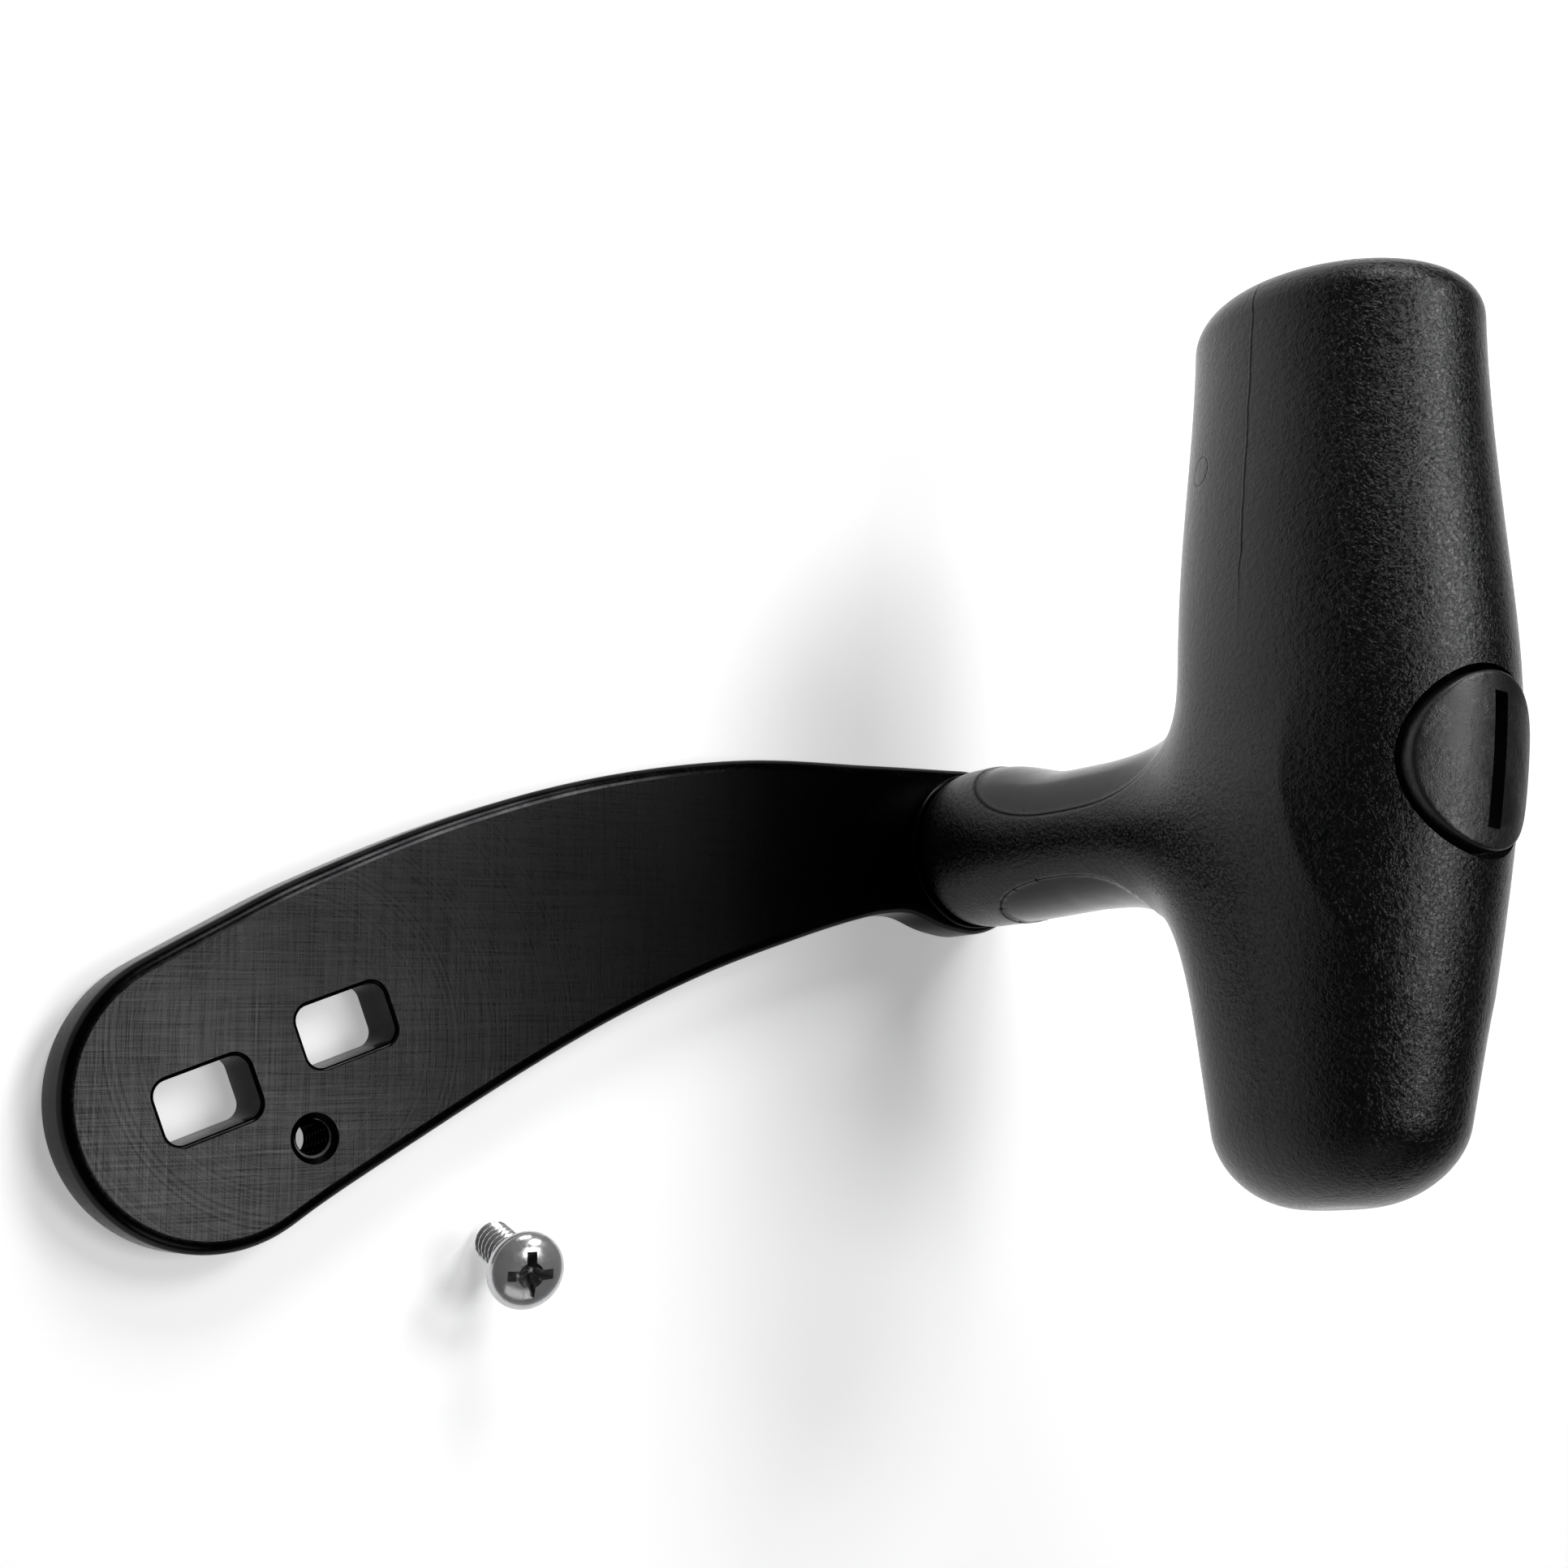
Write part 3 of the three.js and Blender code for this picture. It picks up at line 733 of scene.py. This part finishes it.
def panel_edge(x, y, z):
    """1 on the outline of the neck's smooth panels, less inside; the upper one wraps further round."""
    around = np.arctan2(np.abs(y), -x) - math.pi / 2
    edges = []
    for reach, middle, half in (UPPER_PANEL, LOWER_PANEL):
        wide, tall = np.abs(around / reach), np.abs((z - middle) / half)
        edges.append((wide**PANEL_POWER + tall**PANEL_POWER) ** (1 / PANEL_POWER))
    return np.where(y > 0, *edges)


def grip_field(x, y, z):
    """The bar with its neck, which is narrowest in the middle and has two sunken smooth panels."""
    spread = np.sqrt(x**2 + (y + 0.75 * ease((z - 12) / 14)) ** 2)
    foot = np.clip((10.5 - z) / 3, 0, 1) ** 2
    neck = spread - (NECK_RADIUS + 0.6 * ease((28.0 - z) / 14.0) - 0.5 * foot)
    dish = ease(np.clip((z - 15.0) / 10.0, 0, 1) * np.clip((44.0 - z) / 12.0, 0, 1))
    dish = np.where(y > 0, 0.75, 0.3) * dish * np.clip(1 - (x / 6.5) ** 2, 0, 1)
    sunken = np.clip((1.0 - panel_edge(x, y, z)) / 0.03, 0, 1)
    neck = soft_cut(neck + sunken * (0.2 + dish), NECK_BASE - z, 0.9)
    neck = np.maximum(neck, z - BAR_Z)
    return soft_union(bar_field(x, y, z), neck, 13.0 - 5.0 * np.tanh(y / 6))


def cap_field(x, y, z):
    """A disc that follows the bar's outer face, on a round skirt."""
    spread = np.sqrt(x**2 + y**2)
    disc = soft_cut(spread - CAP_RADIUS, bar_field(x, y, z - CAP_PROUD), CAP_ROUND)
    disc = soft_cut(disc, CAP_SEAT + 0.06 - z, 0.2)
    wall = np.maximum(spread - SKIRT_RADII[1], SKIRT_RADII[0] - spread)
    skirt = np.maximum(wall, np.maximum(SKIRT_BOTTOM - z, z - 75))
    return np.minimum(disc, skirt)


def build_grip(look, place):
    low, high = (-18, -LOWER - 2, NECK_BASE - 1), (18, UPPER + 2, BAR_Z + HALF_DEPTH + 3)
    grip = add_piece("t_bar_grip", *surface(grip_field, low, high, GRIP_CELL), [look], place)
    combine(grip, cutter(turned(GRIP_BORE, 128), place))
    smooth(grip, 45)
    return grip


def build_cap(look, place):
    low, high = (-8.85, -8.85, 68.0), (8.85, 8.85, 80.2)
    cap = add_piece("slotted_cap", *surface(cap_field, low, high, CAP_CELL), [look], place)
    width, length = SLOT_SIZE
    levels = [(0, SLOT_FLOOR), (0, SLOT_FLOOR + 1.5), (0.1, 82)]
    slot = [rounded_rectangle(width + wider, length + wider, 0.12, z, 3) for wider, z in levels]
    combine(cap, cutter(stacked(slot), place))
    smooth(cap, 45)
    return cap


# Lock screw

def build_screw(look, recess_shade_look):
    end = SCREW_LENGTH
    rings = threaded(SCREW_ROOT, SCREW_CREST, SCREW_PITCH, end - 0.35, SCREW_ROOT, 0.9, count=96, step=0.06)
    shoulder = [(1.6, end - 0.2), (1.7, end - 0.06), (1.85, end)]
    brim = [(3.75, end), (3.87, end + 0.05), (HEAD_RADIUS, end + 0.18)]
    rings += [circle(radius, z) for radius, z in shoulder + brim]
    top = end + HEAD_HEIGHT
    for angle in np.linspace(0.02, math.pi / 2, 22)[:-1]:
        radius = HEAD_RADIUS * math.cos(angle) ** 0.9
        rings.append(circle(radius, top - HEAD_RISE + HEAD_RISE * math.sin(angle)))
    axis = (-math.sin(SCREW_TOWARDS), math.cos(SCREW_TOWARDS), 0)
    lift = 0.72 * SCREW_CREST * math.sin(SCREW_LEAN)
    place = shift(*SCREW_AT, lift) @ Quaternion(axis, SCREW_LEAN).to_matrix().to_4x4()
    # The cut faces of the cross recess take a darker steel: painted shade inside the recess, not a different
    # metal
    looks = [look, recess_shade_look]
    screw = add_piece("pan_head_screw", *stacked(rings, (0, 0, 0), (0, 0, top)), looks, place)
    # The cross recess: two crossed wings, as half length, half width and z, and a cone in the middle
    wings = [(0.8, 0.3, top - 1.9), (1.2, 0.42, top - 1.5), (2.45, 0.52, top - 0.2), (2.75, 0.55, top + 1)]
    wings = [np.array([(a, b, z), (-a, b, z), (-a, -b, z), (a, -b, z)]) for a, b, z in wings]
    for turn in (RECESS_TURN, RECESS_TURN + math.pi / 2):
        combine(screw, cutter(stacked(wings), place @ Matrix.Rotation(turn, 4, "Z"), looks))
    cone = [(0.3, top - 2.1), (1.25, top - 0.5), (1.5, top + 1)]
    combine(screw, cutter(turned(cone, 24), place, looks))
    smooth(screw, 38)
    return screw


def main():
    add_camera()
    add_floor()
    add_world()
    for softbox in SOFTBOXES:
        add_softbox(*softbox)
    on_spindle = shift(CRANK, 0) @ Matrix.Rotation(GRIP_TURN, 4, "Z")
    stainless = polished_steel("stainless_bright", (0.66, 0.66, 0.67), 0.15, 0.0008, 0.72)
    # Darker steel for the screw's cross recess: painted shade inside the recess
    recess = polished_steel("stainless_painted_recess_shade", (0.2, 0.2, 0.203), 0.2)
    pieces = [
        (build_arm(machined_face(), anodised_rim()), "arm", "crank_arm", "black_anodised_aluminium"),
        (build_grip(nylon_grain(), on_spindle), "grip", "grip_body", "black_nylon"),
        (build_cap(cap_nylon(), on_spindle), "cap", "grip_cap", "black_nylon"),
        (build_screw(stainless, recess), "lock_screw", "lock_screw", "stainless_steel"),
    ]
    for piece, body, node, slot in pieces:
        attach(piece, body)
        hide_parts(node)
    looks = {
        "stainless_steel": stainless,
        "bearing_steel": polished_steel("bearing_bright", (0.62, 0.63, 0.65), 0.1),
        "brass_cage": polished_steel("cage_brass", (0.6, 0.42, 0.18), 0.25),
        "black_rubber": soft_plain("seal_rubber", (0.015, 0.015, 0.015), 0.7),
        "white_acetal": soft_plain("acetal", (0.75, 0.74, 0.7), 0.45),
    }
    slots = {part["node"]: part["material_slot"] for part in frame["record"]["subparts"]}
    replaced = {row[2] for row in pieces}
    for name, node in frame["nodes"].items():
        if name not in replaced:
            for place in node.material_slots:
                place.material = looks[slots[name]]


main()
